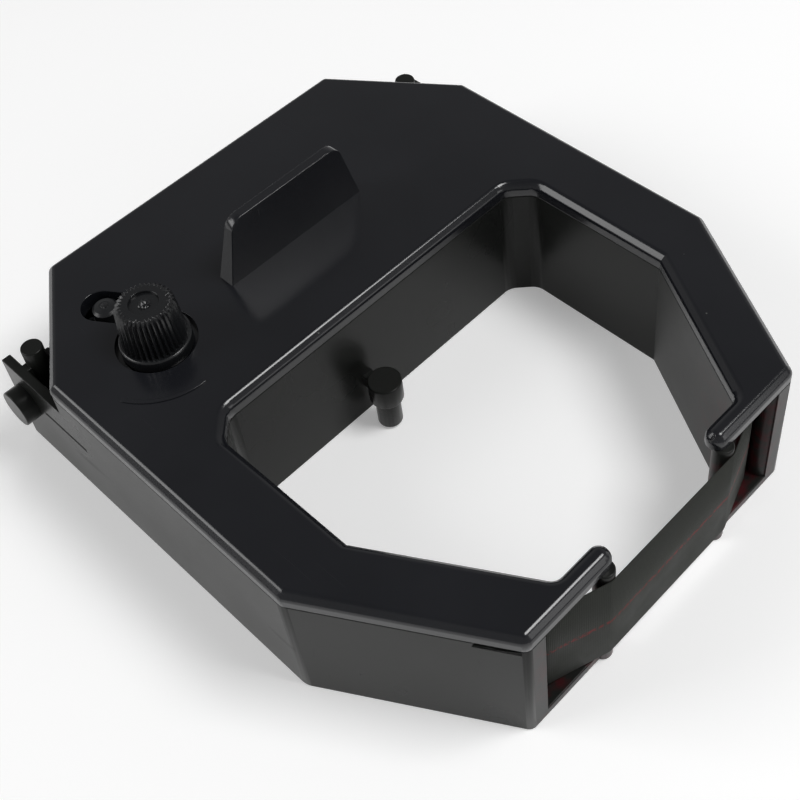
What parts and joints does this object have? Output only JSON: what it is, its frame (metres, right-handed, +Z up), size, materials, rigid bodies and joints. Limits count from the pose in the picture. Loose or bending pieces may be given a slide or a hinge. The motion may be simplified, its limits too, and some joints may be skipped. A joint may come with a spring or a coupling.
{
  "type": "printer ribbon cartridge",
  "caption": "Six-sided ribbon cartridge with a central opening, a ribbon across its open mouth, a feed knob, a fin grip and side pivot pins.",
  "frame": {"origin": "middle of the cartridge in plan, at the underside of the case", "axes": "+Z up through the cover, X along the ribbon with the feed knob on the -X side, -Y towards the open mouth with the ribbon"},
  "size_m": [0.0646, 0.0694, 0.0251],
  "materials": {
    "tray_plastic": "satin",
    "cover_plastic": "satin gloss",
    "roller_plastic": "satin",
    "knob_plastic": "gloss",
    "button_plastic": "satin",
    "felt": "felt",
    "spring_steel": "bright",
    "ribbon_cloth": "woven, inked"
  },
  "bodies": {
    "case": {"case_tray": "tray_plastic", "case_cover": "cover_plastic", "ribbon": "ribbon_cloth", "idler_spring": "spring_steel", "tension_leaf": "spring_steel", "brake_pad": "felt"},
    "feed": {"feed_roller": "roller_plastic", "feed_knob": "knob_plastic"},
    "lever": {"idler_lever": "roller_plastic", "idler_axle": "button_plastic"},
    "idler": {"idler_roller": "roller_plastic"},
    "guide_left": {"guide_roller_left": "roller_plastic"},
    "guide_right": {"guide_roller_right": "roller_plastic"}
  },
  "joints": [
    {"name": "feed_spin", "type": "hinge", "parent": "case", "child": "feed", "pos_m": [-0.0193, 0.01678, 0], "axis": [0, 0, 1], "continuous": true},
    {"name": "lever_swing", "type": "hinge", "parent": "case", "child": "lever", "pos_m": [-0.02591, 0.01928, 0], "axis": [0, 0, 1], "range_deg": [0, 4], "stiffness_Nm_per_rad": 0.05, "springref_deg": -8.59, "deforming": ["idler_spring"]},
    {"name": "idler_spin", "type": "hinge", "parent": "lever", "child": "idler", "pos_m": [-0.02001, 0.02487, 0], "axis": [0, 0, 1], "continuous": true},
    {"name": "guide_left_spin", "type": "hinge", "parent": "case", "child": "guide_left", "pos_m": [-0.0258, -0.0135, 0], "axis": [0, 0, 1], "continuous": true},
    {"name": "guide_right_spin", "type": "hinge", "parent": "case", "child": "guide_right", "pos_m": [0.0258, -0.0135, 0], "axis": [0, 0, 1], "continuous": true}
  ],
  "couplings": [
    {"joint": "idler_spin", "follows": "feed_spin", "ratio": -1.4375},
    {"joint": "guide_left_spin", "follows": "feed_spin", "ratio": 3.0667},
    {"joint": "guide_right_spin", "follows": "feed_spin", "ratio": 3.0667}
  ]
}
